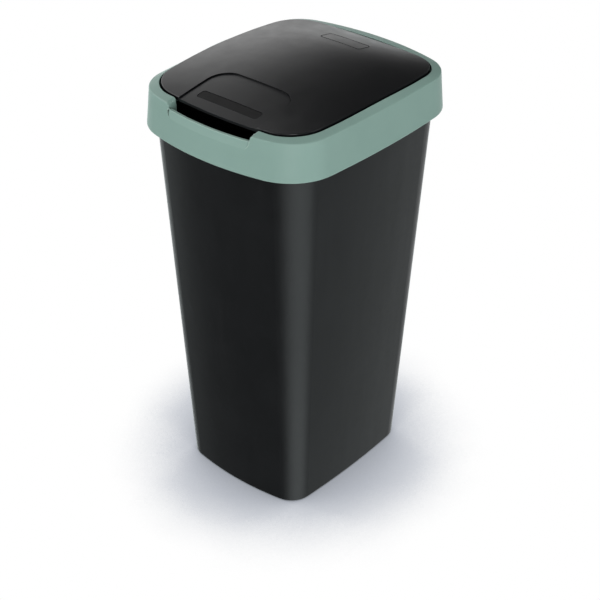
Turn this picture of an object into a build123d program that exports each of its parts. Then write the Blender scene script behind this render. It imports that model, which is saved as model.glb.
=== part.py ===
"""Free-standing kitchen waste bin: a tapered bucket, a lift-off frame round its mouth
and a domed lid that is lifted by its front edge and turns on two pins near its rear edge.

Millimetres. X to the right, Y to the back, Z up. The origin is under the middle of the
bucket, on the floor. The finger notch is in the front of the frame, at -Y.
"""
import os

from build123d import *

# Bucket
mouth_height = 474.0        # top of the bucket's lip above the floor
base_width = 180.6
base_depth = 218.0
base_front_bow = 10.5       # how far the front and back bulge out past the corners
base_side_bow = 4.4
base_corner = 28.0
mouth_width = 230.0
mouth_depth = 284.8
mouth_front_bow = 21.8
mouth_side_bow = 6.9
mouth_corner = 43.7
bucket_wall = 2.4
floor_thickness = 2.8
lip_overhang = 1.8          # turned-out lip that stiffens the mouth
lip_thickness = 3.0
lip_radius = 0.8
foot_ring_width = 7.0       # the bucket stands on a ring round its base
foot_ring_height = 3.0
base_edge_radius = 3.0

# Frame round the mouth
frame_drop = 20.5           # how far the frame's face hangs below the bucket's lip
frame_reach_x = 12.7        # the face's lower edge stands this far out from the bucket
frame_reach_y = 10.2
frame_corner = 60.0
face_flare = 5.45           # the face leans in by this much on each side up to the bevel line
bevel_side_bow = 5.4
bevel_corner = 48.0
bevel_rise = 22.6           # bevel line above the bucket's lip
band_rise = 8.8             # the sloping band aims at an outline this high above the bevel line,
band_inset_x = 1.0          # which lies inside the opening, so that the opening cuts the band short
band_inset_y = 27.5
band_bow = 15.0
band_corner = 30.0
frame_wall = 2.4
channel_drop = 1.9          # the hollow's upper corner below the bevel line
opening_radius = 0.8        # rounded edge of the opening
bevel_radius = 1.8          # rounding of the bevel line
face_bottom_radius = 1.0
inner_wall_lift = 11.5      # lower edge of the wall round the opening, above the mouth
skirt_clearance = 0.9       # between the locating skirt and the bucket's mouth
skirt_thickness = 1.8
skirt_drop = 12.0           # how far the skirt reaches down inside the mouth
seat_gap = 0.3              # between the frame's ribs and the bucket's lip
rib_thickness = 1.8
rib_past_notch = 20.5       # ribs in the front and back channels, from the notch's ends
rib_before_pin = 22.0       # ribs in the side channels, in front of the hinge

# Finger notch in the front of the frame
notch_width = 115.0
notch_corner = 2.5
notch_edge_radius = 3.5     # the roof turns down into the notch's ends
notch_cheek = 3.6           # walls that close the channel at the notch's ends
notch_floor_drop = 6.4      # floor of the notch below the bevel line
notch_sill = 4.2            # width of the floor, front to back
scoop_height = 9.0          # shallow relief in the face below the notch
scoop_depth = 1.3
scoop_corner = 8.0

# Lid
lid_inset_x = 2.8           # the lid's edge inside the bucket's mouth
lid_inset_y = 13.7
lid_front_bow = 8.4
lid_side_bow = 8.5
lid_corner = 44.0
lid_gap = 1.8               # running gap between lid and frame
lid_rise = 2.9              # front and rear edges of the lid above the frame's bevel line
side_arch = 5.3             # the lid's sides arch up by this much towards their middle
crown_height = 10.0         # the dome above the middle of the sides
crown_shift = 35.0          # the dome's highest point is this far behind the middle
crown_sections = 10         # spans between the sections that the dome is drawn through
crown_margin = 6.0          # the dome's surface runs on past the lid's edge
lid_wall = 2.2
lid_lip_depth = 4.2         # the lid's front and rear edges are turned down by this much
lid_edge_radius = 0.8
lid_rib_height = 3.5
lid_rib_pitch = 42.0
lid_rib_steps = (-2, -1, 0, 1)

# Press pad with its label pocket, and the plain outlined field near the rear edge
pad_inset = 2.5             # recessed pad, open towards the notch and a little narrower
pad_length = 70.7           # from the lid's front edge
pad_corner = 24.0
pad_step = 1.5
pocket_inset = 12.5         # the pocket's ends inside the pad's
pocket_depth = 13.5
pocket_back = 21.2          # its middle behind the lid's front edge
pocket_corner = 3.5
pocket_step = 1.4
inlay_gap = 0.5
inlay_sink = 0.3            # the label inlay's face below the pad's
field_width = 58.0
field_depth = 22.0
field_inset = 42.7          # its middle in front of the lid's rear edge
field_side = -3.0
field_corner = 5.0
field_groove = 1.3
field_groove_depth = 0.7

# Hinge: two pins through the frame's inner wall into ears under the lid
pin_diameter = 4.0
pin_inset = 44.7            # axis in front of the lid's rear edge
pin_drop = 6.9              # axis below the lid's front and rear edges
pin_head_diameter = 6.0
pin_head_thickness = 1.5
pin_chamfer = 0.5
pin_running_clearance = 0.06    # round the pin in the lid's ear
pin_seat_clearance = 0.02       # round the pin in the frame's wall
pin_tip_stand = 0.6             # the pin's tip stands this far out of the ear
hinge_boss = 1.0                # thickening of the frame's wall round the pin
hinge_boss_diameter = 9.0
ear_thickness = 5.0
ear_radius = 5.4
ear_inset = 3.4                 # the ear stands this far in from the lid's side
swing_clearance = 1.5           # between the lid's rear edge and the cut in the skirt

# Soft buffers that the closed lid rests on
buffer_diameter = 5.0
buffer_height = 2.6
buffer_radius = 0.6
buffer_stem_diameter = 2.6
buffer_stem_clearance = 0.02
buffer_inset = 58.7         # behind the lid's front edge
buffer_gap = 0.3
shelf_width = 7.0
shelf_length = 34.0
shelf_thickness = 2.2

# Sizes and places that follow
face_bottom = mouth_height - frame_drop
face_share = face_bottom / mouth_height
frame_width = base_width + (mouth_width - base_width) * face_share + 2 * frame_reach_x
frame_depth = base_depth + (mouth_depth - base_depth) * face_share + 2 * frame_reach_y
lid_width = mouth_width - 2 * lid_inset_x
lid_depth = mouth_depth - 2 * lid_inset_y
lid_front = -lid_depth / 2
lid_rear = lid_depth / 2
pad_width = notch_width - 2 * pad_inset
pad_rear = lid_front + pad_length
pocket_width = pad_width - 2 * pocket_inset
pocket_y = lid_front + pocket_back
field_y = lid_rear - field_inset
pin_y = lid_rear - pin_inset
buffer_y = lid_front + buffer_inset
rib_x = notch_width / 2 + rib_past_notch
rib_y = pin_y - rib_before_pin

bevel_height = mouth_height + bevel_rise
band_top = bevel_height + band_rise
lid_edge = bevel_height + lid_rise
above_frame = lid_edge + side_arch + crown_height + lid_wall
inner_wall_bottom = mouth_height + inner_wall_lift
seat_height = mouth_height + seat_gap
skirt_bottom = mouth_height - skirt_drop
skirt_inset = bucket_wall + skirt_clearance
channel_bevel = bevel_height - channel_drop
ledge_top = inner_wall_bottom + frame_wall
notch_floor = bevel_height - notch_floor_drop
scoop_bottom = notch_floor - scoop_height
lid_lip_bottom = lid_edge - lid_lip_depth
pin_height = lid_edge - pin_drop
shelf_top = lid_lip_bottom - buffer_gap - buffer_height
dome_bottom = seat_height
through = 2 * frame_depth   # long enough to pass through everything
touch = 0.01                # tolerance for finding edges at a height


def side_of_lid(y):
    """The lid's half width at a place along its bowed side."""
    corner_y = lid_depth / 2 - lid_front_bow
    radius = (corner_y**2 + lid_side_bow**2) / (2 * lid_side_bow)
    return lid_width / 2 - radius + (radius**2 - y**2) ** 0.5


swing_radius = ((lid_rear - pin_y) ** 2 + pin_drop**2) ** 0.5
wall_at_pin = side_of_lid(pin_y) + lid_gap
pin_head_start = wall_at_pin + frame_wall + hinge_boss
ear_outer = side_of_lid(pin_y) - ear_inset
ear_inner = ear_outer - ear_thickness
buffer_side = side_of_lid(buffer_y) - lid_wall / 2


class BowedOutline(BaseSketchObject):
    """Rectangle with sides that bulge by an arc and rounded corners."""

    def __init__(self, width, depth, front_bow, side_bow, corner, mode=Mode.ADD):
        x = width / 2 - side_bow
        y = depth / 2 - front_bow
        with BuildSketch() as outline:
            with BuildLine():
                ThreePointArc((-x, -y), (0, -depth / 2), (x, -y))
                ThreePointArc((x, -y), (width / 2, 0), (x, y))
                ThreePointArc((x, y), (0, depth / 2), (-x, y))
                ThreePointArc((-x, y), (-width / 2, 0), (-x, -y))
            make_face()
            fillet(outline.vertices(), corner)
        super().__init__(obj=outline.sketch, mode=mode)


def bucket_outline(height, inset=0.0, mode=Mode.ADD):
    """The bucket's outline at a height, drawn in by an inset."""
    share = height / mouth_height

    def between(low, high):
        return low + (high - low) * share

    return BowedOutline(
        between(base_width, mouth_width) - 2 * inset,
        between(base_depth, mouth_depth) - 2 * inset,
        between(base_front_bow, mouth_front_bow),
        between(base_side_bow, mouth_side_bow),
        between(base_corner, mouth_corner) - inset,
        mode=mode,
    )


def face_outline(height, inset=0.0, mode=Mode.ADD):
    """The frame's outer face at a height, drawn in by an inset."""
    share = (height - face_bottom) / (bevel_height - face_bottom)
    lean = 2 * face_flare * share
    return BowedOutline(
        frame_width - lean - 2 * inset,
        frame_depth - lean - 2 * inset,
        mouth_front_bow,
        mouth_side_bow + (bevel_side_bow - mouth_side_bow) * share,
        frame_corner + (bevel_corner - frame_corner) * share - inset,
        mode=mode,
    )


def lid_outline(outset=0.0, mode=Mode.ADD):
    """The lid's outline, or one round it, such as the frame's opening."""
    return BowedOutline(
        lid_width + 2 * outset,
        lid_depth + 2 * outset,
        lid_front_bow,
        lid_side_bow,
        lid_corner + outset,
        mode=mode,
    )


def band_outline(inset=0.0):
    """Where the frame's sloping band would end if the opening didn't cut it short."""
    return BowedOutline(
        lid_width + 2 * (lid_gap - band_inset_x - inset),
        lid_depth + 2 * (lid_gap - band_inset_y - inset),
        band_bow,
        band_bow,
        band_corner - inset,
    )


def crown(lowering=0.0):
    """Everything under the lid's domed surface, lowered. The surface bows across the lid by a parabola,
    less and less towards the front and rear edges, and the sides arch up between them."""
    half_width = frame_width / 2
    half_depth = lid_depth / 2 + crown_margin
    with BuildPart(mode=Mode.PRIVATE) as dome:
        for section in range(crown_sections + 1):
            y = half_depth * (2 * section / crown_sections - 1)
            arch = side_arch * (1 - (2 * y / lid_depth) ** 2)
            slope_length = lid_depth / 2 + (crown_shift if y < crown_shift else -crown_shift)
            bow = crown_height * (1 - ((y - crown_shift) / slope_length) ** 2)
            edge = lid_edge - lowering + arch
            fall = bow * (2 * half_width / lid_width) ** 2
            with BuildSketch(Plane.XZ.offset(-y)):
                with BuildLine():
                    left = (-half_width, edge + bow - fall)
                    right = (half_width, edge + bow - fall)
                    Bezier(left, (0, edge + bow + fall), right)
                    Polyline(right, (half_width, dome_bottom), (-half_width, dome_bottom), left)
                make_face()
        loft()
    return dome.part


def edges_at(edges, height):
    """The edges that lie flat at a height."""
    return edges.filter_by_position(Axis.Z, height - touch, height + touch)


# Bucket: one tapered shell with a turned-out lip and a foot ring
with BuildPart() as bucket:
    with BuildSketch(Plane.XY):
        bucket_outline(0)
    with BuildSketch(Plane.XY.offset(mouth_height)):
        bucket_outline(mouth_height)
    loft(ruled=True)
    fillet(edges_at(bucket.edges(), 0), base_edge_radius)
    with BuildSketch(Plane.XY.offset(mouth_height - lip_thickness)):
        bucket_outline(mouth_height, -lip_overhang)
    extrude(amount=lip_thickness)
    fillet(edges_at(bucket.edges(), mouth_height), lip_radius)
    with BuildSketch(Plane.XY.offset(foot_ring_height + floor_thickness)):
        bucket_outline(foot_ring_height + floor_thickness, bucket_wall)
    with BuildSketch(Plane.XY.offset(mouth_height)):
        bucket_outline(mouth_height, bucket_wall)
    loft(ruled=True, mode=Mode.SUBTRACT)
    with BuildSketch(Plane.XY):
        bucket_outline(0, foot_ring_width)
    extrude(amount=foot_ring_height, mode=Mode.SUBTRACT)

# Finger notch through the face and the sloping band
with BuildPart() as notch:
    with BuildSketch(Plane.XZ.offset(lid_depth / 2 - lid_front_bow)) as notch_profile:
        with Locations((0, notch_floor)):
            Rectangle(notch_width, above_frame, align=(Align.CENTER, Align.MIN))
        fillet(notch_profile.vertices().group_by(Axis.Y)[0], notch_corner)
    extrude(amount=through)

# Shallow relief in the face below the notch, for the finger
with BuildPart() as scoop:
    with BuildSketch(Plane.XZ) as scoop_profile:
        with Locations((0, scoop_bottom)):
            Rectangle(notch_width, scoop_height, align=(Align.CENTER, Align.MIN))
        fillet(scoop_profile.vertices().group_by(Axis.Y)[0], scoop_corner)
    extrude(amount=through)
    with BuildSketch(Plane.XY.offset(scoop_bottom)):
        face_outline(scoop_bottom)
    with BuildSketch(Plane.XY.offset(notch_floor)):
        face_outline(notch_floor, scoop_depth)
    loft(ruled=True, mode=Mode.SUBTRACT)

# Outer form of the frame, with the lid's opening sunk into its top
with BuildPart() as frame_block:
    with BuildSketch(Plane.XY.offset(face_bottom)):
        face_outline(face_bottom)
    with BuildSketch(Plane.XY.offset(bevel_height)):
        face_outline(bevel_height)
    loft(ruled=True)
    with BuildSketch(Plane.XY.offset(bevel_height)):
        face_outline(bevel_height)
    with BuildSketch(Plane.XY.offset(band_top)):
        band_outline()
    loft(ruled=True)
    fillet(edges_at(frame_block.edges(), face_bottom), face_bottom_radius)
    add(notch.part, mode=Mode.SUBTRACT)
    for side in (-1, 1):
        place = (side * notch_width / 2, lid_front, bevel_height)
        end = frame_block.faces().filter_by(Axis.X).sort_by_distance(place)[0]
        fillet(end.edges().sort_by(Axis.Z)[-1], notch_edge_radius)
    fillet(edges_at(frame_block.edges(), bevel_height), bevel_radius)
    with BuildSketch(Plane.XY.offset(inner_wall_bottom)):
        lid_outline(lid_gap)
    extrude(amount=above_frame - inner_wall_bottom, mode=Mode.SUBTRACT)
    rim = frame_block.edges(Select.LAST).filter_by_position(Axis.Z, bevel_height, above_frame)
    fillet(rim, opening_radius)
    add(scoop.part, mode=Mode.SUBTRACT)

# The hollow of the channel, from the face across to the wall round the opening
with BuildPart() as channel:
    with BuildSketch(Plane.XY.offset(face_bottom)):
        face_outline(face_bottom, frame_wall)
    with BuildSketch(Plane.XY.offset(channel_bevel)):
        face_outline(channel_bevel, frame_wall)
    loft(ruled=True)
    with BuildSketch(Plane.XY.offset(channel_bevel)):
        face_outline(channel_bevel, frame_wall)
    with BuildSketch(Plane.XY.offset(band_top - frame_wall)):
        band_outline(frame_wall / 2)
    loft(ruled=True)
    with BuildSketch(Plane.XY.offset(inner_wall_bottom)):
        lid_outline(lid_gap + frame_wall)
    extrude(amount=above_frame - inner_wall_bottom, mode=Mode.SUBTRACT)

# Skirt that centres the frame inside the bucket's mouth. A ledge joins it to the wall round the
# opening, and both are cut away where the lid's rear dips
with BuildPart() as skirt:
    with BuildSketch(Plane.XY.offset(skirt_bottom)):
        bucket_outline(skirt_bottom, skirt_inset)
    with BuildSketch(Plane.XY.offset(bevel_height)):
        bucket_outline(bevel_height, skirt_inset)
    loft(ruled=True)
    with BuildSketch(Plane.XY.offset(skirt_bottom)):
        bucket_outline(skirt_bottom, skirt_inset + skirt_thickness)
    with BuildSketch(Plane.XY.offset(bevel_height)):
        bucket_outline(bevel_height, skirt_inset + skirt_thickness)
    loft(ruled=True, mode=Mode.SUBTRACT)
    with BuildSketch(Plane.XY.offset(inner_wall_bottom)):
        lid_outline(lid_gap + frame_wall / 2)
        bucket_outline(inner_wall_bottom, skirt_inset + skirt_thickness / 2, mode=Mode.SUBTRACT)
    extrude(amount=frame_wall)
    with BuildSketch(Plane.XY.offset(ledge_top)):
        lid_outline(lid_gap)
    extrude(amount=above_frame - ledge_top, mode=Mode.SUBTRACT)
    with BuildSketch(Plane.YZ):
        with Locations((pin_y, pin_height)):
            Circle(swing_radius + swing_clearance)
    extrude(amount=through, both=True, mode=Mode.SUBTRACT)

# Ribs in the channel that stand on the bucket's lip
with BuildPart() as seat_ribs:
    with BuildSketch(Plane.XY.offset(seat_height)):
        with Locations((-rib_x, 0), (rib_x, 0)):
            Rectangle(rib_thickness, through)
        with Locations((0, -rib_y), (0, 0), (0, rib_y)):
            Rectangle(through, rib_thickness)
    extrude(amount=above_frame - seat_height)
    add(channel.part, mode=Mode.INTERSECT)
    with BuildSketch(Plane.XY.offset(seat_height)):
        lid_outline(lid_gap + frame_wall / 2)
    extrude(amount=above_frame - seat_height, mode=Mode.SUBTRACT)

# Shelves at the front corners of the opening, which carry the lid's buffers
with BuildPart() as shelves:
    with BuildSketch(Plane.XY.offset(shelf_top - shelf_thickness)):
        lid_outline(lid_gap + frame_wall / 2)
        lid_outline(lid_gap - shelf_width, mode=Mode.SUBTRACT)
        with Locations((0, buffer_y)):
            Rectangle(through, shelf_length, mode=Mode.INTERSECT)
    extrude(amount=shelf_thickness)

# Cheeks that close the channel at both ends of the finger notch
with BuildPart() as cheeks:
    with BuildSketch(Plane.XY.offset(seat_height)):
        for side in (-1, 1):
            with Locations((side * (notch_width + notch_cheek) / 2, -through / 2)):
                Rectangle(notch_cheek, through)
        lid_outline(lid_gap, mode=Mode.SUBTRACT)
    extrude(amount=above_frame - seat_height)
    add(frame_block.part, mode=Mode.INTERSECT)

# Floor of the notch, a narrow sill behind the face
with BuildPart() as sill:
    with BuildSketch(Plane.XY.offset(notch_floor - frame_wall)):
        face_outline(notch_floor)
        face_outline(notch_floor, notch_sill, mode=Mode.SUBTRACT)
        with Locations((0, -through / 2)):
            Rectangle(notch_width + notch_cheek, through, mode=Mode.INTERSECT)
    extrude(amount=frame_wall)
    add(frame_block.part, mode=Mode.INTERSECT)

# Frame: an upside-down channel round the mouth, with the lid's opening in its middle
with BuildPart() as frame:
    add(frame_block.part)
    add(channel.part, mode=Mode.SUBTRACT)
    add(seat_ribs.part)
    add(skirt.part)
    add(shelves.part)
    add(cheeks.part)
    add(sill.part)
    with BuildSketch(Plane.XY.offset(seat_height)):
        face_outline(notch_floor, notch_sill)
        lid_outline(mode=Mode.SUBTRACT)
        with Locations((0, -through / 2)):
            Rectangle(notch_width, through, mode=Mode.INTERSECT)
    extrude(amount=above_frame - seat_height, mode=Mode.SUBTRACT)
    for side in (-1, 1):
        with BuildSketch(Plane.YZ.offset(side * (wall_at_pin + frame_wall / 2))):
            with Locations((pin_y, pin_height)):
                Circle(hinge_boss_diameter / 2)
        extrude(amount=side * (frame_wall / 2 + hinge_boss))
    with BuildSketch(Plane.YZ):
        with Locations((pin_y, pin_height)):
            Circle(pin_diameter / 2 + pin_seat_clearance)
    extrude(amount=pin_head_start, both=True, mode=Mode.SUBTRACT)
    for side in (-1, 1):
        with Locations((side * buffer_side, buffer_y, shelf_top - shelf_thickness / 2)):
            Cylinder(
                buffer_stem_diameter / 2 + buffer_stem_clearance,
                shelf_thickness,
                mode=Mode.SUBTRACT,
            )

# The pad, the pocket and the label as upright blocks, cut to the dome below
with BuildPart() as pad_block:
    with BuildSketch(Plane.XY.offset(lid_lip_bottom)) as pad_profile:
        with Locations((0, pad_rear)):
            Rectangle(pad_width, lid_depth, align=(Align.CENTER, Align.MAX))
        fillet(pad_profile.vertices().group_by(Axis.Y)[-1], pad_corner)
    extrude(amount=above_frame - lid_lip_bottom)

with BuildPart() as pocket_block:
    with BuildSketch(Plane.XY.offset(lid_lip_bottom)):
        with Locations((0, pocket_y)):
            RectangleRounded(pocket_width, pocket_depth, pocket_corner)
    extrude(amount=above_frame - lid_lip_bottom)

with BuildPart() as label_inlay:
    with BuildSketch(Plane.XY.offset(lid_lip_bottom)):
        with Locations((0, pocket_y)):
            RectangleRounded(
                pocket_width - 2 * inlay_gap,
                pocket_depth - 2 * inlay_gap,
                pocket_corner - inlay_gap,
            )
    extrude(amount=above_frame - lid_lip_bottom)
    add(crown(pad_step + inlay_sink), mode=Mode.INTERSECT)
    add(crown(pad_step + pocket_step), mode=Mode.SUBTRACT)

# Outer form of the lid, with a rounded edge
with BuildPart() as lid_form:
    with BuildSketch(Plane.XY.offset(lid_lip_bottom)):
        lid_outline()
    extrude(amount=above_frame - lid_lip_bottom)
    add(crown(), mode=Mode.INTERSECT)
    fillet(lid_form.faces().sort_by(Axis.Z)[-1].edges(), lid_edge_radius)

# The lid's wall is carried down under the pad and the pocket, so that it stays as thick
with BuildPart() as pad_backing:
    with BuildSketch(Plane.XY.offset(lid_lip_bottom)):
        with Locations((0, pad_rear + lid_wall)):
            Rectangle(pad_width + 2 * lid_wall, lid_depth, align=(Align.CENTER, Align.MAX))
    extrude(amount=above_frame - lid_lip_bottom)
    add(lid_form.part, mode=Mode.INTERSECT)
    add(crown(pad_step + lid_wall), mode=Mode.SUBTRACT)

with BuildPart() as pocket_backing:
    with BuildSketch(Plane.XY.offset(lid_lip_bottom)):
        with Locations((0, pocket_y)):
            Rectangle(pocket_width + 2 * lid_wall, pocket_depth + 2 * lid_wall)
    extrude(amount=above_frame - lid_lip_bottom)
    add(lid_form.part, mode=Mode.INTERSECT)
    add(crown(pad_step + pocket_step + lid_wall), mode=Mode.SUBTRACT)

with BuildPart() as pad_cut:
    add(pad_block.part)
    add(crown(pad_step), mode=Mode.SUBTRACT)

with BuildPart() as pocket_cut:
    add(pocket_block.part)
    add(crown(pad_step + pocket_step), mode=Mode.SUBTRACT)

with BuildPart() as field_cut:
    with BuildSketch(Plane.XY.offset(lid_lip_bottom)):
        with Locations((field_side, field_y)):
            RectangleRounded(field_width, field_depth, field_corner)
            RectangleRounded(
                field_width - 2 * field_groove,
                field_depth - 2 * field_groove,
                field_corner - field_groove,
                mode=Mode.SUBTRACT,
            )
    extrude(amount=above_frame - lid_lip_bottom)
    add(crown(field_groove_depth), mode=Mode.SUBTRACT)

# Cross ribs and hinge ears under the lid, grown into the middle of its wall
with BuildPart() as lid_filling:
    with BuildSketch(Plane.XY.offset(pin_height - ear_radius)):
        lid_outline(-lid_wall / 2)
    extrude(amount=above_frame - pin_height + ear_radius)
    add(crown(lid_wall / 2), mode=Mode.INTERSECT)

with BuildPart() as lid_ribs:
    with BuildSketch(Plane.XY.offset(lid_lip_bottom)):
        with Locations(*[(0, lid_rib_pitch * step) for step in lid_rib_steps]):
            Rectangle(lid_width, rib_thickness)
    extrude(amount=above_frame - lid_lip_bottom)
    add(lid_filling.part, mode=Mode.INTERSECT)
    add(crown(lid_wall + lid_rib_height), mode=Mode.SUBTRACT)

with BuildPart() as ears:
    for side in (-1, 1):
        with BuildSketch(Plane.YZ.offset(side * ear_inner)):
            with Locations((pin_y, pin_height)):
                Circle(ear_radius)
                Rectangle(2 * ear_radius, above_frame, align=(Align.CENTER, Align.MIN))
        extrude(amount=side * ear_thickness)
    add(lid_filling.part, mode=Mode.INTERSECT)
    with BuildSketch(Plane.YZ):
        with Locations((pin_y, pin_height)):
            Circle(pin_diameter / 2 + pin_running_clearance)
    extrude(amount=lid_width, both=True, mode=Mode.SUBTRACT)

# Lid: a domed shell with a turned-down edge
with BuildPart() as lid_hollow:
    with BuildSketch(Plane.XY.offset(lid_lip_bottom)):
        lid_outline(-lid_wall)
    extrude(amount=above_frame - lid_lip_bottom)
    add(crown(lid_wall), mode=Mode.INTERSECT)

with BuildPart() as lid_panel:
    add(lid_form.part)
    add(lid_hollow.part, mode=Mode.SUBTRACT)
    add(pad_backing.part)
    add(pocket_backing.part)
    add(lid_ribs.part)
    add(ears.part)
    add(pad_cut.part, mode=Mode.SUBTRACT)
    add(pocket_cut.part, mode=Mode.SUBTRACT)
    add(field_cut.part, mode=Mode.SUBTRACT)

# Hinge pins, pushed in from the channel side until their heads meet the bosses
hinge_pins = []
for side in (-1, 1):
    with BuildPart() as hinge_pin:
        with BuildSketch(Plane.YZ.offset(side * (ear_inner - pin_tip_stand))):
            with Locations((pin_y, pin_height)):
                Circle(pin_diameter / 2)
        extrude(amount=side * (pin_head_start - ear_inner + pin_tip_stand))
        chamfer(hinge_pin.edges().sort_by(Axis.X)[0 if side > 0 else -1], pin_chamfer)
        with BuildSketch(Plane.YZ.offset(side * pin_head_start)):
            with Locations((pin_y, pin_height)):
                Circle(pin_head_diameter / 2)
        extrude(amount=side * pin_head_thickness)
        chamfer(hinge_pin.edges().sort_by(Axis.X)[-1 if side > 0 else 0], pin_chamfer)
    hinge_pins.append(hinge_pin)

# Buffers with stems that plug into the shelves
buffers = []
for side in (-1, 1):
    with BuildPart() as lid_buffer:
        with BuildSketch(Plane.XY.offset(shelf_top)):
            with Locations((side * buffer_side, buffer_y)):
                Circle(buffer_diameter / 2)
        extrude(amount=buffer_height)
        fillet(edges_at(lid_buffer.edges(), shelf_top + buffer_height), buffer_radius)
        with BuildSketch(Plane.XY.offset(shelf_top)):
            with Locations((side * buffer_side, buffer_y)):
                Circle(buffer_stem_diameter / 2)
        extrude(amount=-shelf_thickness)
    buffers.append(lid_buffer)

os.makedirs("parts", exist_ok=True)
for piece, name in (
    (bucket, "bucket"),
    (frame, "frame"),
    (lid_panel, "lid_panel"),
    (label_inlay, "label_inlay"),
    (hinge_pins[0], "hinge_pin_left"),
    (hinge_pins[1], "hinge_pin_right"),
    (buffers[0], "lid_buffer_left"),
    (buffers[1], "lid_buffer_right"),
):
    piece.part.label = name
    export_step(piece.part, f"parts/{name}.step")
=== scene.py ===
"""A slim black kitchen bin with a sage green frame and a domed black lid."""

import math

import bpy
from mathutils import Matrix, Vector

MM = 0.001

# The camera's place, found from the bin's outlines in the photograph
CAMERA_AZIMUTH = math.radians(40.45)
CAMERA_ELEVATION = math.radians(33.0)
CAMERA_DISTANCE = 1822 * MM
CAMERA_ROLL = math.radians(0.4)
CAMERA_LENS = 91.84
CAMERA_SENSOR = 36.0
AIM_HEIGHT = 206.8 * MM
AIM_RIGHT = 5.2 * MM

# Sizes in millimetres of the marks that moulding and use leave on plastic, and of the painted edge
# highlight and the painted shade in grooves
CLOUD_SIZE = 60
FLOW_WIDTH = 18
FLOW_LENGTH = 150
HANDLING_AND_HIGHLIGHT_SIZE = 9
EDGE_HIGHLIGHT_WIDTH = 1.2
GROOVE_SHADE_REACH = 3.0

# How far those marks move the roughness up and down
FLOW_SHEEN = 0.025
HANDLING_SHEEN = 0.015

# How much finer detail the marks have within them, and how many rays look for edges and grooves
MARK_DETAIL = 0.55
EDGE_RAYS = 6

PLASTIC_IOR = 1.49
# The colour of the painted shade in grooves and gaps
GROOVE_SHADE_COLOUR = "#050506"

# The lamps face a point halfway up the bin
LAMP_AIM = (0, 0, 0.25)

# The even light all round, level with the bin and straight above it
EVEN_LIGHT = 0.75
EVEN_LIGHT_ABOVE = 0.4

# The wall in the bin's gloss is bright on the left and low down, and falls off this way
WALL_FALL = (1.0, 0.4, 0.5)
WALL_FALL_START = -0.3
WALL_FALL_END = -0.05
WALL_LIGHT = 1.4
CEILING_LIGHT = 0.04

# The floor in metres, and the shades of the bin's shadow on it, from dark at the base to none
FLOOR_SIZE = 12
SHADOW_REACH = 0.22
SHADOW_RAYS = 16
DARKEST_SHADE = (0.35, "#84888F")
MIDDLE_SHADES = ((0.62, "#B4B8C0"), (0.75, "#D0D3D9"))
NO_SHADE = (0.85, "#FFFFFF")

# How bright the floor is in the bin's gloss, a painted reflection, by the angle in degrees from the front
# towards the right
FLOOR_PAINTED_REFLECTION = (
    (-150, 2.4),
    (-112, 1.6),
    (-80, 0.12),
    (-5, 0.06),
    (15, 0.25),
    (35, 0.9),
    (55, 1.3),
    (95, 1.3),
    (112, 0.7),
    (125, 0.08),
    (135, 0.1),
    (158, 0.65),
)

# Its share of the brightest place straight behind the bin, and the share of red that keeps it cool
BEHIND_IN_GLOSS = 0.3
RED_IN_GLOSS = 0.92


def linear(hex_colour):
    """The linear colour of an sRGB hex value."""
    channels = [int(hex_colour[i : i + 2], 16) / 255 for i in (1, 3, 5)]
    return [c / 12.92 if c <= 0.04045 else ((c + 0.055) / 1.055) ** 2.4 for c in channels] + [1.0]


def add_node(tree, kind, inputs=None, **settings):
    """Adds a node, sets its properties, and fills each named input with a value or a link."""
    node = tree.nodes.new(kind)
    for name, value in settings.items():
        setattr(node, name, value)
    for name, value in (inputs or {}).items():
        if isinstance(value, bpy.types.NodeSocket):
            tree.links.new(value, node.inputs[name])
        else:
            node.inputs[name].default_value = value
    return node


def new_material(name):
    """A material whose tree is empty, to be built and then finished."""
    material = bpy.data.materials.new(name)
    material.use_nodes = True
    tree = material.node_tree
    tree.nodes.clear()
    return material, tree


def finish_material(tree, shader):
    """Links the last shader to the material's output."""
    output = add_node(tree, "ShaderNodeOutputMaterial")
    tree.links.new(shader.outputs[0], output.inputs["Surface"])


def soft_patches(tree, place, size_mm, detail, low, high):
    """Patches about as wide as a size, that run from a low value to a high one."""
    texture = add_node(
        tree,
        "ShaderNodeTexNoise",
        {"Vector": place, "Scale": 1 / (size_mm * MM), "Detail": detail, "Roughness": MARK_DETAIL},
    )
    # noise stays near the middle of its range, so that part is stretched
    patches = add_node(
        tree,
        "ShaderNodeMapRange",
        {"Value": texture.outputs["Fac"], "From Min": 0.3, "From Max": 0.7, "To Min": low, "To Max": high},
    )
    return patches.outputs["Result"]


def painted_edge_highlights(tree, place):
    """Where edges are, from 0 on flat places to 1, broken into patches: the share of the painted edge
    highlight.
    """
    rounded = add_node(tree, "ShaderNodeBevel", {"Radius": EDGE_HIGHLIGHT_WIDTH * MM}, samples=EDGE_RAYS)
    flat = add_node(tree, "ShaderNodeNewGeometry")
    facing = add_node(
        tree,
        "ShaderNodeVectorMath",
        {0: rounded.outputs["Normal"], 1: flat.outputs["Normal"]},
        operation="DOT_PRODUCT",
    )
    # the painted edge highlight begins where rounding turns an edge by 6 degrees, and is full at 22
    edges = add_node(
        tree,
        "ShaderNodeMapRange",
        {
            "Value": facing.outputs["Value"],
            "From Min": 0.995,
            "From Max": 0.93,
            "To Min": 0.0,
            "To Max": 1.0,
        },
    )
    highlight_patches = soft_patches(tree, place, HANDLING_AND_HIGHLIGHT_SIZE, 4.0, 0.55, 1.0)
    highlighted = add_node(tree, "ShaderNodeMath", {0: edges.outputs["Result"], 1: highlight_patches}, operation="MULTIPLY")
    return highlighted.outputs["Value"]


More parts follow.
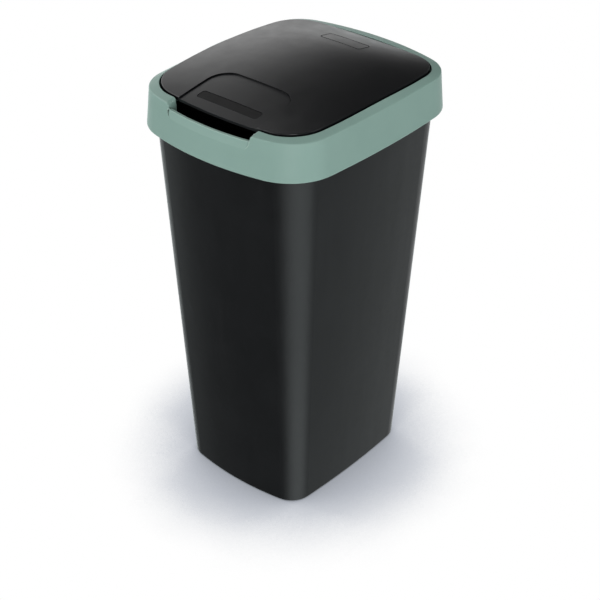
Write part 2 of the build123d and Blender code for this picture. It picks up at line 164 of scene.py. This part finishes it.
def painted_groove_shade(tree):
    """1 in the open, less in grooves and gaps: a painted shade where little light gets in."""
    sky = add_node(tree, "ShaderNodeAmbientOcclusion", {"Distance": GROOVE_SHADE_REACH * MM}, samples=EDGE_RAYS)
    share = add_node(
        tree,
        "ShaderNodeMapRange",
        {"Value": sky.outputs["AO"], "From Min": 0.5, "From Max": 0.95, "To Min": 0.1, "To Max": 1.0},
    )
    return share.outputs["Result"]


# The edge colour is the colour of the painted edge highlight
def moulded(name, colour, cloud_colour, edge_highlight_colour, roughness, grain_mm, grain_height_mm, gloss=0.5):
    """A piece from an injection mould. The mould's spark-eroded walls give it an even grain and a satin
    sheen, and the melt leaves faint clouds and long flow marks up the walls. Hands and cloths leave
    some patches smoother than others. The edges get a painted pale highlight in patches, and grooves
    and gaps a painted shade that darkens them and takes their gloss. The real grain is about a
    tenth of a millimetre, so it is drawn coarser, as it needs to be to show."""
    material, tree = new_material(name)
    place = add_node(tree, "ShaderNodeTexCoord").outputs["Object"]
    up_the_wall = add_node(
        tree, "ShaderNodeMapping", {"Vector": place, "Scale": (1.0, 1.0, FLOW_WIDTH / FLOW_LENGTH)}
    ).outputs["Vector"]
    clouds = soft_patches(tree, place, CLOUD_SIZE, 3.0, 0.0, 1.0)
    tint = add_node(
        tree,
        "ShaderNodeMix",
        {"Factor": clouds, "A": linear(colour), "B": linear(cloud_colour)},
        data_type="RGBA",
    )
    # Painted highlight: the edges are paler
    highlighted = add_node(
        tree,
        "ShaderNodeMix",
        {"Factor": painted_edge_highlights(tree, place), "A": tint.outputs["Result"], "B": linear(edge_highlight_colour)},
        data_type="RGBA",
    )
    # Painted shade: grooves and gaps are darkened towards the groove colour and lose their gloss
    groove_light_share = painted_groove_shade(tree)
    groove_shaded = add_node(
        tree,
        "ShaderNodeMix",
        {"Factor": groove_light_share, "A": linear(GROOVE_SHADE_COLOUR), "B": highlighted.outputs["Result"]},
        data_type="RGBA",
    )
    shine = add_node(tree, "ShaderNodeMath", {0: groove_light_share, 1: gloss}, operation="MULTIPLY")
    flow = soft_patches(tree, up_the_wall, FLOW_WIDTH, 2.0, roughness - FLOW_SHEEN, roughness + FLOW_SHEEN)
    handling = soft_patches(tree, place, HANDLING_AND_HIGHLIGHT_SIZE, 4.0, -HANDLING_SHEEN, HANDLING_SHEEN)
    sheen = add_node(tree, "ShaderNodeMath", {0: flow, 1: handling}, operation="ADD")
    grain = add_node(
        tree,
        "ShaderNodeTexNoise",
        {"Vector": place, "Scale": 1 / (grain_mm * MM), "Detail": 2.0, "Roughness": MARK_DETAIL},
    )
    bumps = add_node(
        tree,
        "ShaderNodeBump",
        {"Height": grain.outputs["Fac"], "Strength": 1.0, "Distance": grain_height_mm * MM},
    )
    shader = add_node(
        tree,
        "ShaderNodeBsdfPrincipled",
        {
            "Base Color": groove_shaded.outputs["Result"],
            "Roughness": sheen.outputs["Value"],
            "IOR": PLASTIC_IOR,
            "Specular IOR Level": shine.outputs["Value"],
            "Normal": bumps.outputs["Normal"],
        },
    )
    finish_material(tree, shader)
    return material


def assign(node, material):
    """Gives a CAD node its one material."""
    node.data.materials.clear()
    node.data.materials.append(material)


def place_camera():
    """The photograph's own view."""
    back = Vector(
        (
            math.sin(CAMERA_AZIMUTH) * math.cos(CAMERA_ELEVATION),
            -math.cos(CAMERA_AZIMUTH) * math.cos(CAMERA_ELEVATION),
            math.sin(CAMERA_ELEVATION),
        )
    )
    right = Vector((math.cos(CAMERA_AZIMUTH), math.sin(CAMERA_AZIMUTH), 0))
    up = back.cross(right)
    aim = Vector((0, 0, AIM_HEIGHT)) + right * AIM_RIGHT
    data = bpy.data.cameras.new("camera")
    data.sensor_width = CAMERA_SENSOR
    data.lens = CAMERA_LENS
    camera = bpy.data.objects.new("camera", data)
    turn = Matrix((right, up, back)).transposed().to_4x4()
    camera.matrix_world = (
        Matrix.Translation(aim + back * CAMERA_DISTANCE) @ turn @ Matrix.Rotation(CAMERA_ROLL, 4, "Z")
    )
    bpy.context.scene.collection.objects.link(camera)
    bpy.context.scene.camera = camera


def softbox(name, place, width, height, power):
    """A soft lamp that faces the bin. Its place and size are in metres, and its power in watts."""
    data = bpy.data.lights.new(name, "AREA")
    data.shape = "RECTANGLE"
    data.size = width
    data.size_y = height
    data.energy = power
    lamp = bpy.data.objects.new(name, data)
    lamp.location = place
    lamp.rotation_mode = "QUATERNION"
    lamp.rotation_quaternion = (Vector(LAMP_AIM) - Vector(place)).to_track_quat("-Z", "Y")
    bpy.context.scene.collection.objects.link(lamp)


def in_gloss(tree, path):
    """1 for rays that glossy or clear surfaces send out, 0 for others."""
    inputs = {0: path.outputs["Is Glossy Ray"], 1: path.outputs["Is Transmission Ray"]}
    return add_node(tree, "ShaderNodeMath", inputs, operation="MAXIMUM").outputs["Value"]


def light_world():
    """A plain studio: white to the camera, an even light all round, and in the bin's gloss a white
    wall that falls off to a dark ceiling."""
    world = bpy.data.worlds.new("studio")
    world.use_nodes = True
    tree = world.node_tree
    tree.nodes.clear()
    path = add_node(tree, "ShaderNodeLightPath")
    direction = add_node(tree, "ShaderNodeTexCoord").outputs["Generated"]
    height = add_node(tree, "ShaderNodeSeparateXYZ", {"Vector": direction}).outputs["Z"]
    past_wall = add_node(
        tree, "ShaderNodeVectorMath", {0: direction, 1: WALL_FALL}, operation="DOT_PRODUCT"
    )
    wall = add_node(
        tree,
        "ShaderNodeMapRange",
        {
            "Value": past_wall.outputs["Value"],
            "From Min": WALL_FALL_START,
            "From Max": WALL_FALL_END,
            "To Min": WALL_LIGHT,
            "To Max": CEILING_LIGHT,
        },
        interpolation_type="SMOOTHSTEP",
    )
    even = add_node(
        tree,
        "ShaderNodeMapRange",
        {
            "Value": height,
            "From Min": 0.0,
            "From Max": 1.0,
            "To Min": EVEN_LIGHT,
            "To Max": EVEN_LIGHT_ABOVE,
        },
    )
    seen_by_bin = add_node(
        tree,
        "ShaderNodeMix",
        {"Factor": in_gloss(tree, path), "A": even.outputs["Result"], "B": wall.outputs["Result"]},
    )
    strength = add_node(
        tree,
        "ShaderNodeMix",
        {"Factor": path.outputs["Is Camera Ray"], "A": seen_by_bin.outputs["Result"], "B": 1.0},
    )
    background = add_node(
        tree, "ShaderNodeBackground", {"Color": linear("#FFFFFF"), "Strength": strength.outputs["Result"]}
    )
    output = add_node(tree, "ShaderNodeOutputWorld")
    tree.links.new(background.outputs[0], output.inputs["Surface"])
    bpy.context.scene.world = world


def shaded_floor(tree):
    """The floor's colour to the camera: white, with the bin's soft shadow round its base."""
    sky = add_node(tree, "ShaderNodeAmbientOcclusion", {"Distance": SHADOW_REACH}, samples=SHADOW_RAYS)
    shading = add_node(tree, "ShaderNodeValToRGB", {"Fac": sky.outputs["AO"]})
    shades = shading.color_ramp.elements
    for end, (position, shade) in zip(shades, (DARKEST_SHADE, NO_SHADE)):
        end.position = position
        end.color = linear(shade)
    for position, shade in MIDDLE_SHADES:
        shades.new(position).color = linear(shade)
    return shading.outputs["Color"]


def floor_painted_reflection(tree):
    """The floor's light in the bin's gloss, set by the way each ray goes and not by where it meets the
    floor: a painted reflection, bright in front of the near corner and behind the right side, and dark in
    front of the bin and beside it."""
    back_along_ray = add_node(tree, "ShaderNodeNewGeometry").outputs["Incoming"]
    # x to the right and y to the front, the way the ray goes
    way = add_node(
        tree, "ShaderNodeVectorMath", {0: back_along_ray, 1: (-1.0, 1.0, 1.0)}, operation="MULTIPLY"
    )
    parts = add_node(tree, "ShaderNodeSeparateXYZ", {"Vector": way.outputs["Vector"]})
    angle = add_node(
        tree, "ShaderNodeMath", {0: parts.outputs["X"], 1: parts.outputs["Y"]}, operation="ARCTAN2"
    )
    turn = add_node(
        tree,
        "ShaderNodeMapRange",
        {
            "Value": angle.outputs["Value"],
            "From Min": -math.pi,
            "From Max": math.pi,
            "To Min": 0.0,
            "To Max": 1.0,
        },
    )
    # Painted reflection: the floor's brightness in gloss, by the angle of the ray
    reflection_ramp = add_node(tree, "ShaderNodeValToRGB", {"Fac": turn.outputs["Result"]})
    stops = reflection_ramp.color_ramp.elements
    for end in stops:
        end.color = (BEHIND_IN_GLOSS, BEHIND_IN_GLOSS, BEHIND_IN_GLOSS, 1.0)
    # a ramp holds nothing above 1, so it gives shares of the brightest place
    brightest = max(strength for degrees, strength in FLOOR_PAINTED_REFLECTION)
    for degrees, strength in FLOOR_PAINTED_REFLECTION:
        share = strength / brightest
        stops.new((degrees + 180) / 360).color = (RED_IN_GLOSS * share, share, share, 1.0)
    light = add_node(
        tree, "ShaderNodeVectorMath", {0: reflection_ramp.outputs["Color"], "Scale": brightest}, operation="SCALE"
    )
    return light.outputs["Vector"]


def painted_floor():
    """Studio floor, rolled with a cool white matt paint. The camera and the bin's gloss see the light
    that the two functions above give, and all other light falls on the plain paint."""
    material, tree = new_material("painted_floor")
    path = add_node(tree, "ShaderNodeLightPath")
    gloss = in_gloss(tree, path)
    in_view = add_node(
        tree,
        "ShaderNodeMix",
        {"Factor": gloss, "A": shaded_floor(tree), "B": floor_painted_reflection(tree)},
        data_type="RGBA",
    )
    glow = add_node(tree, "ShaderNodeEmission", {"Color": in_view.outputs["Result"]})
    paint = add_node(tree, "ShaderNodeBsdfPrincipled", {"Base Color": linear("#F4F5F7"), "Roughness": 0.6})
    direct = add_node(
        tree, "ShaderNodeMath", {0: path.outputs["Is Camera Ray"], 1: gloss}, operation="MAXIMUM"
    )
    shader = add_node(tree, "ShaderNodeMixShader", {"Fac": direct.outputs["Value"]})
    tree.links.new(paint.outputs[0], shader.inputs[1])
    tree.links.new(glow.outputs[0], shader.inputs[2])
    finish_material(tree, shader)
    return material


def lay_floor():
    """The floor is part of the studio, not of the bin."""
    bpy.ops.mesh.primitive_plane_add(size=FLOOR_SIZE)
    floor = bpy.context.object
    floor.name = "floor"
    floor.data.materials.append(painted_floor())


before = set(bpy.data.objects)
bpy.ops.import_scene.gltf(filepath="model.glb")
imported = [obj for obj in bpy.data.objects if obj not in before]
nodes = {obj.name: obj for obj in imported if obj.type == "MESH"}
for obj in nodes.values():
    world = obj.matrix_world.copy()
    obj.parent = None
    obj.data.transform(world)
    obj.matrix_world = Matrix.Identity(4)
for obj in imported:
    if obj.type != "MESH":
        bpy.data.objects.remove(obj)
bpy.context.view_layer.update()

# The bucket is moulded polypropylene. Its satin black shows the floor's painted reflection as long, soft
# streaks
bucket_plastic = moulded(
    "black_polypropylene",
    colour="#0D0E10",
    cloud_colour="#121315",
    edge_highlight_colour="#26272A",
    roughness=0.4,
    grain_mm=0.9,
    grain_height_mm=0.012,
)

# The frame is the same plastic, dyed sage green. It looks milky and a little duller than the black,
# and its edges carry a painted pale highlight line
frame_plastic = moulded(
    "sage_polypropylene",
    colour="#7C9990",
    cloud_colour="#809D94",
    edge_highlight_colour="#BAD5CB",
    roughness=0.46,
    grain_mm=0.9,
    grain_height_mm=0.012,
)

# The lid's mould has a shallower grain, so its dome shows the wall's light and the dark ceiling more
# clearly than the bucket does
lid_plastic = moulded(
    "black_polypropylene_lid",
    colour="#0D0E10",
    cloud_colour="#111214",
    edge_highlight_colour="#2A2B2E",
    roughness=0.32,
    grain_mm=0.9,
    grain_height_mm=0.009,
)

# The label inlay is matt polypropylene with little gloss, so it lies dark in the lid
inlay_plastic = moulded(
    "matt_black_polypropylene",
    colour="#060607",
    cloud_colour="#09090A",
    edge_highlight_colour="#1D1E20",
    roughness=0.5,
    grain_mm=0.7,
    grain_height_mm=0.01,
    gloss=0.2,
)

# The hinge pins are acetal, hard and slippery, from a smooth mould, which gives a waxy shine
pin_plastic = moulded(
    "black_acetal",
    colour="#141416",
    cloud_colour="#19191B",
    edge_highlight_colour="#303033",
    roughness=0.3,
    grain_mm=0.6,
    grain_height_mm=0.004,
)

# The buffers are soft moulded rubber, which scatters what falls on it and looks dull grey-black
buffer_rubber = moulded(
    "soft_buffer_rubber",
    colour="#171718",
    cloud_colour="#1C1C1D",
    edge_highlight_colour="#2A2A2B",
    roughness=0.7,
    grain_mm=0.6,
    grain_height_mm=0.01,
)

assign(nodes["bucket"], bucket_plastic)
assign(nodes["frame"], frame_plastic)
assign(nodes["lid_panel"], lid_plastic)
assign(nodes["label_inlay"], inlay_plastic)
for side in ("left", "right"):
    assign(nodes[f"hinge_pin_{side}"], pin_plastic)
    assign(nodes[f"lid_buffer_{side}"], buffer_rubber)

place_camera()
light_world()
lay_floor()
softbox("left_softbox", place=(-1.6, -1.6, 1.6), width=1.2, height=1.2, power=18)
softbox("right_softbox", place=(2.0, 0.4, 1.0), width=1.2, height=1.6, power=8)
softbox("front_softbox", place=(1.1, -1.3, 0.7), width=0.5, height=1.2, power=9)
bpy.context.scene.view_settings.view_transform = "Standard"
